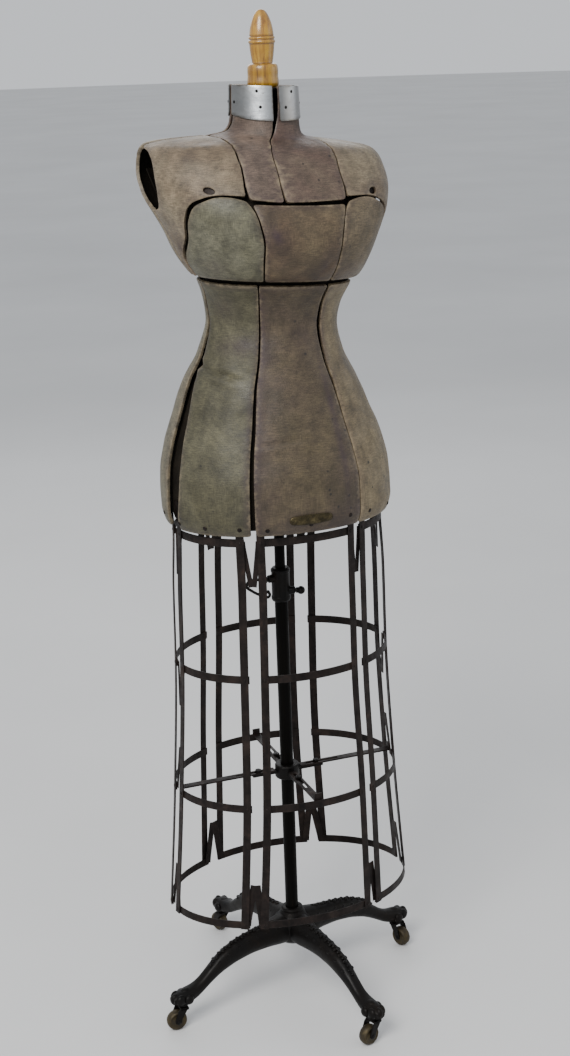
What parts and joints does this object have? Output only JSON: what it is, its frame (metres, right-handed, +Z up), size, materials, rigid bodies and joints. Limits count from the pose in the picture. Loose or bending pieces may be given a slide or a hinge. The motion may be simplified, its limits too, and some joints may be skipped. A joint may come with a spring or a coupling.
{
  "type": "adjustable dress form",
  "caption": "Adjustable dress form: papier-mache torso panels and turned finial over a strap-iron skirt cage on a telescopic pole with a cast caster base.",
  "frame": {"origin": "on the floor under the pole's axis", "axes": "+Z up along the pole, the torso faces -Y, +X is the form's own left"},
  "size_m": [0.4562, 0.4553, 1.5124],
  "materials": {
    "papier_mache": "aged, scuffed papier-mache with a rubbed cloth-like skin, khaki olive to brown",
    "collar_metal": "dulled nickel-plated sheet",
    "turned_wood": "amber varnished hardwood",
    "strap_iron": "dark oxidised strap iron with a brown bloom",
    "black_iron": "black japanned casting, worn glossy",
    "tube_steel": "blackened steel tube",
    "caster_brass": "tarnished brass wheel",
    "plate_brass": "tarnished blank plate"
  },
  "bodies": {
    "stand": {"base": "black_iron", "pole": "tube_steel", "height_collar": "black_iron"},
    "height_screw": {"height_screw": "black_iron"},
    "guide_screw": {"guide_screw": "black_iron"},
    "mast": {"mast": "tube_steel"},
    "form": {"neck_plate": "black_iron", "shoulder_cross": "black_iron", "bust_cross": "black_iron", "waist_cross": "black_iron", "spider_hub": "black_iron", "top_hoop": "strap_iron", "hem_hoop": "strap_iron"},
    "finial": {"finial": "turned_wood"},
    "quarter_front_left": {"neck_front_left": "papier_mache", "collar_front_left": "collar_metal", "shoulder_front_left": "papier_mache"},
    "quarter_front_right": {"neck_front_right": "papier_mache", "collar_front_right": "collar_metal", "shoulder_front_right": "papier_mache"},
    "quarter_back_left": {"neck_back_left": "papier_mache", "collar_back_left": "collar_metal", "shoulder_back_left": "papier_mache"},
    "quarter_back_right": {"neck_back_right": "papier_mache", "collar_back_right": "collar_metal", "shoulder_back_right": "papier_mache"},
    "bust_middle": {"bust_center": "papier_mache"},
    "bust_side_left": {"bust_left": "papier_mache"},
    "bust_side_right": {"bust_right": "papier_mache"},
    "section_front": {"hip_front": "papier_mache", "skirt_frame_front": "strap_iron", "name_plate": "plate_brass", "spider_arm_front": "strap_iron"},
    "section_front_left": {"hip_front_left": "papier_mache", "skirt_frame_front_left": "strap_iron"},
    "section_back_left": {"hip_back_left": "papier_mache", "skirt_frame_back_left": "strap_iron"},
    "section_back": {"hip_back": "papier_mache", "skirt_frame_back": "strap_iron", "spider_arm_back": "strap_iron"},
    "section_back_right": {"hip_back_right": "papier_mache", "skirt_frame_back_right": "strap_iron"},
    "section_front_right": {"hip_front_right": "papier_mache", "skirt_frame_front_right": "strap_iron"},
    "arm_left": {"spider_arm_left": "strap_iron", "middle_link_left": "strap_iron", "lower_link_left": "strap_iron"},
    "arm_right": {"spider_arm_right": "strap_iron", "middle_link_right": "strap_iron", "lower_link_right": "strap_iron"},
    "caster_1": {"caster_fork_1": "black_iron"},
    "wheel_1": {"caster_wheel_1": "caster_brass"},
    "caster_2": {"caster_fork_2": "black_iron"},
    "wheel_2": {"caster_wheel_2": "caster_brass"},
    "caster_3": {"caster_fork_3": "black_iron"},
    "wheel_3": {"caster_wheel_3": "caster_brass"},
    "caster_4": {"caster_fork_4": "black_iron"},
    "wheel_4": {"caster_wheel_4": "caster_brass"}
  },
  "joints": [
    {"name": "height_screw_turn", "type": "hinge", "parent": "stand", "child": "height_screw", "pos_m": [-0.0197, -0.00347, 0.693], "axis": [-0.9848, -0.1736, 0], "continuous": true},
    {"name": "guide_screw_turn", "type": "hinge", "parent": "stand", "child": "guide_screw", "pos_m": [0.01766, -0.00939, 0.672], "axis": [0.8829, -0.4695, 0], "continuous": true},
    {"name": "height_slide", "type": "slide", "parent": "stand", "child": "mast", "axis": [0, 0, 1], "range_m": [-0.05, 0.18]},
    {"name": "form_turn", "type": "hinge", "parent": "mast", "child": "form", "pos_m": [0, 0, 1], "axis": [0, 0, 1], "continuous": true},
    {"name": "finial_turn", "type": "hinge", "parent": "form", "child": "finial", "pos_m": [0, 0, 1.408], "axis": [0, 0, 1], "continuous": true},
    {"name": "quarter_front_left_slide", "type": "slide", "parent": "form", "child": "quarter_front_left", "axis": [0.7071, -0.7071, 0], "range_m": [0, 0.01]},
    {"name": "quarter_front_right_slide", "type": "slide", "parent": "form", "child": "quarter_front_right", "axis": [-0.7071, -0.7071, 0], "range_m": [0, 0.01]},
    {"name": "quarter_back_left_slide", "type": "slide", "parent": "form", "child": "quarter_back_left", "axis": [0.7071, 0.7071, 0], "range_m": [0, 0.01]},
    {"name": "quarter_back_right_slide", "type": "slide", "parent": "form", "child": "quarter_back_right", "axis": [-0.7071, 0.7071, 0], "range_m": [0, 0.01]},
    {"name": "bust_middle_slide", "type": "slide", "parent": "form", "child": "bust_middle", "axis": [0, -1, 0], "range_m": [0, 0.012]},
    {"name": "bust_side_left_slide", "type": "slide", "parent": "form", "child": "bust_side_left", "axis": [0.6428, -0.766, 0], "range_m": [0, 0.012]},
    {"name": "bust_side_right_slide", "type": "slide", "parent": "form", "child": "bust_side_right", "axis": [-0.6428, -0.766, 0], "range_m": [0, 0.012]},
    {"name": "section_front_slide", "type": "slide", "parent": "form", "child": "section_front", "axis": [0, -1, 0], "range_m": [0, 0.012]},
    {"name": "section_front_left_slide", "type": "slide", "parent": "form", "child": "section_front_left", "axis": [0.866, -0.5, 0], "range_m": [0, 0.012]},
    {"name": "section_back_left_slide", "type": "slide", "parent": "form", "child": "section_back_left", "axis": [0.866, 0.5, 0], "range_m": [0, 0.012]},
    {"name": "section_back_slide", "type": "slide", "parent": "form", "child": "section_back", "axis": [0, 1, 0], "range_m": [0, 0.012]},
    {"name": "section_back_right_slide", "type": "slide", "parent": "form", "child": "section_back_right", "axis": [-0.866, 0.5, 0], "range_m": [0, 0.012]},
    {"name": "section_front_right_slide", "type": "slide", "parent": "form", "child": "section_front_right", "axis": [-0.866, -0.5, 0], "range_m": [0, 0.012]},
    {"name": "arm_left_slide", "type": "slide", "parent": "form", "child": "arm_left", "axis": [1, 0, 0], "range_m": [0, 0.0104]},
    {"name": "arm_right_slide", "type": "slide", "parent": "form", "child": "arm_right", "axis": [-1, 0, 0], "range_m": [0, 0.0104]},
    {"name": "caster_1_swivel", "type": "hinge", "parent": "stand", "child": "caster_1", "pos_m": [0.05105, -0.20473, 0.0405], "axis": [0, 0, 1], "continuous": true},
    {"name": "wheel_1_spin", "type": "hinge", "parent": "caster_1", "child": "wheel_1", "pos_m": [0.04071, -0.2085, 0.016], "axis": [0.342, -0.9397, 0], "continuous": true},
    {"name": "caster_2_swivel", "type": "hinge", "parent": "stand", "child": "caster_2", "pos_m": [0.20473, 0.05105, 0.0405], "axis": [0, 0, 1], "continuous": true},
    {"name": "wheel_2_spin", "type": "hinge", "parent": "caster_2", "child": "wheel_2", "pos_m": [0.2085, 0.04071, 0.016], "axis": [0.9397, 0.342, 0], "continuous": true},
    {"name": "caster_3_swivel", "type": "hinge", "parent": "stand", "child": "caster_3", "pos_m": [-0.05105, 0.20473, 0.0405], "axis": [0, 0, 1], "continuous": true},
    {"name": "wheel_3_spin", "type": "hinge", "parent": "caster_3", "child": "wheel_3", "pos_m": [-0.05481, 0.21507, 0.016], "axis": [-0.9397, -0.342, 0], "continuous": true},
    {"name": "caster_4_swivel", "type": "hinge", "parent": "stand", "child": "caster_4", "pos_m": [-0.20473, -0.05105, 0.0405], "axis": [0, 0, 1], "continuous": true},
    {"name": "wheel_4_spin", "type": "hinge", "parent": "caster_4", "child": "wheel_4", "pos_m": [-0.21573, -0.05143, 0.016], "axis": [0.0349, -0.9994, 0], "continuous": true}
  ],
  "couplings": [
    {"joint": "quarter_front_right_slide", "follows": "quarter_front_left_slide", "ratio": 1},
    {"joint": "quarter_back_left_slide", "follows": "quarter_front_left_slide", "ratio": 1},
    {"joint": "quarter_back_right_slide", "follows": "quarter_front_left_slide", "ratio": 1},
    {"joint": "bust_side_left_slide", "follows": "bust_middle_slide", "ratio": 1},
    {"joint": "bust_side_right_slide", "follows": "bust_middle_slide", "ratio": 1},
    {"joint": "section_front_left_slide", "follows": "section_front_slide", "ratio": 1},
    {"joint": "section_back_left_slide", "follows": "section_front_slide", "ratio": 1},
    {"joint": "section_back_slide", "follows": "section_front_slide", "ratio": 1},
    {"joint": "section_back_right_slide", "follows": "section_front_slide", "ratio": 1},
    {"joint": "section_front_right_slide", "follows": "section_front_slide", "ratio": 1},
    {"joint": "arm_left_slide", "follows": "section_front_slide", "ratio": 0.866},
    {"joint": "arm_right_slide", "follows": "section_front_slide", "ratio": 0.866}
  ]
}
